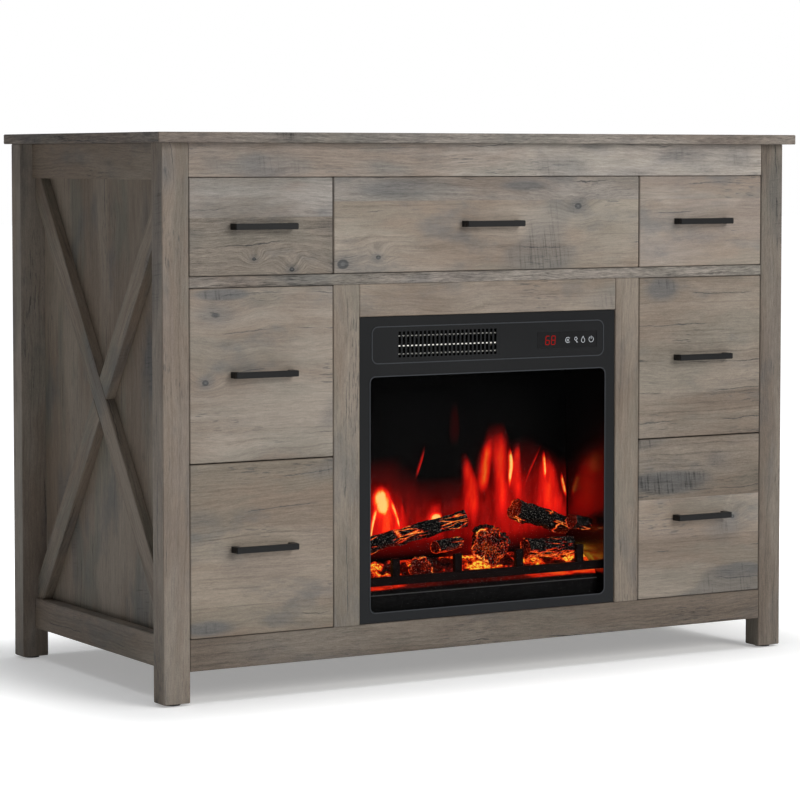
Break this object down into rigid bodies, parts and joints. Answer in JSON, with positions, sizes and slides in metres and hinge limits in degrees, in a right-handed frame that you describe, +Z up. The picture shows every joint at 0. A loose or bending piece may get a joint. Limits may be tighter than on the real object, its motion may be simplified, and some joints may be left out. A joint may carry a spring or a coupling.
{
  "type": "electric fireplace mantel cabinet",
  "caption": "Freestanding wood-look mantel cabinet with sliding drawers and crossed side braces around a flush electric fireplace insert with logs and flame screen.",
  "frame": {"origin": "on the floor, at the centre of the overall footprint", "axes": "+X to the right seen from the front, along the width; +Y from front to back, so the front faces -Y; +Z up"},
  "size_m": [1.126, 0.548, 0.82],
  "materials": {
    "weathered_board": "satin",
    "drawer_board": "satin",
    "back_board": "matte",
    "black_steel": "satin",
    "pull_black": "satin",
    "slide_steel": "satin",
    "screw_steel": "satin",
    "glide_plastic": "matte",
    "glass": "gloss",
    "galvanised": "satin",
    "panel_gloss": "gloss",
    "log_resin": "matte",
    "ember_resin": "matte",
    "screen_acrylic": "gloss",
    "foil": "bright",
    "motor_steel": "satin",
    "board_green": "satin",
    "gland_plastic": "matte"
  },
  "bodies": {
    "cabinet": {"top_panel": "weathered_board", "legs": "weathered_board", "front_rails": "weathered_board", "side_rails": "weathered_board", "rear_rails": "weathered_board", "deck_panel": "weathered_board", "stiles": "weathered_board", "fireplace_header": "weathered_board", "side_panels": "weathered_board", "cross_braces": "weathered_board", "bottom_panel": "weathered_board", "partitions": "weathered_board", "back_panels": "back_board", "foot_glides": "glide_plastic", "cabinet_screws": "screw_steel", "cabinet_slides": "slide_steel", "insert_frame": "black_steel", "insert_glass": "glass", "insert_housing": "galvanised", "insert_rear_cover": "black_steel", "cord_gland": "gland_plastic", "vent_grille": "black_steel", "control_panel": "panel_gloss", "log_set": "log_resin", "ember_bed": "ember_resin", "log_grate": "black_steel", "flame_screen": "screen_acrylic", "motors": "motor_steel", "heater_unit": "galvanised", "circuit_boards": "board_green"},
    "flame_rotor": {"flame_rotor": "foil"},
    "blower_wheel": {"blower_wheel": "foil"},
    "drawer_top_left": {"top_left_front": "weathered_board", "top_left_box": "drawer_board", "top_left_pull": "pull_black", "top_left_runners": "slide_steel"},
    "drawer_top_centre": {"top_centre_front": "weathered_board", "top_centre_box": "drawer_board", "top_centre_pull": "pull_black", "top_centre_runners": "slide_steel"},
    "drawer_top_right": {"top_right_front": "weathered_board", "top_right_box": "drawer_board", "top_right_pull": "pull_black", "top_right_runners": "slide_steel"},
    "drawer_mid_left": {"mid_left_front": "weathered_board", "mid_left_box": "drawer_board", "mid_left_pull": "pull_black", "mid_left_runners": "slide_steel"},
    "drawer_mid_right": {"mid_right_front": "weathered_board", "mid_right_box": "drawer_board", "mid_right_pull": "pull_black", "mid_right_runners": "slide_steel"},
    "drawer_low_left": {"low_left_front": "weathered_board", "low_left_box": "drawer_board", "low_left_pull": "pull_black", "low_left_runners": "slide_steel"},
    "drawer_low_right": {"low_right_front": "weathered_board", "low_right_box": "drawer_board", "low_right_pull": "pull_black", "low_right_runners": "slide_steel"}
  },
  "joints": [
    {"name": "top_left_slide", "type": "slide", "parent": "cabinet", "child": "drawer_top_left", "axis": [0, -1, 0], "range_m": [0, 0.3]},
    {"name": "top_centre_slide", "type": "slide", "parent": "cabinet", "child": "drawer_top_centre", "axis": [0, -1, 0], "range_m": [0, 0.3]},
    {"name": "top_right_slide", "type": "slide", "parent": "cabinet", "child": "drawer_top_right", "axis": [0, -1, 0], "range_m": [0, 0.3]},
    {"name": "mid_left_slide", "type": "slide", "parent": "cabinet", "child": "drawer_mid_left", "axis": [0, -1, 0], "range_m": [0, 0.3]},
    {"name": "mid_right_slide", "type": "slide", "parent": "cabinet", "child": "drawer_mid_right", "axis": [0, -1, 0], "range_m": [0, 0.3]},
    {"name": "low_left_slide", "type": "slide", "parent": "cabinet", "child": "drawer_low_left", "axis": [0, -1, 0], "range_m": [0, 0.3]},
    {"name": "low_right_slide", "type": "slide", "parent": "cabinet", "child": "drawer_low_right", "axis": [0, -1, 0], "range_m": [0, 0.3]},
    {"name": "flame_rotor_spin", "type": "hinge", "parent": "cabinet", "child": "flame_rotor", "pos_m": [0, -0.098, 0.205], "axis": [1, 0, 0], "continuous": true},
    {"name": "blower_wheel_spin", "type": "hinge", "parent": "cabinet", "child": "blower_wheel", "pos_m": [-0.075, -0.138, 0.507], "axis": [1, 0, 0], "continuous": true}
  ]
}
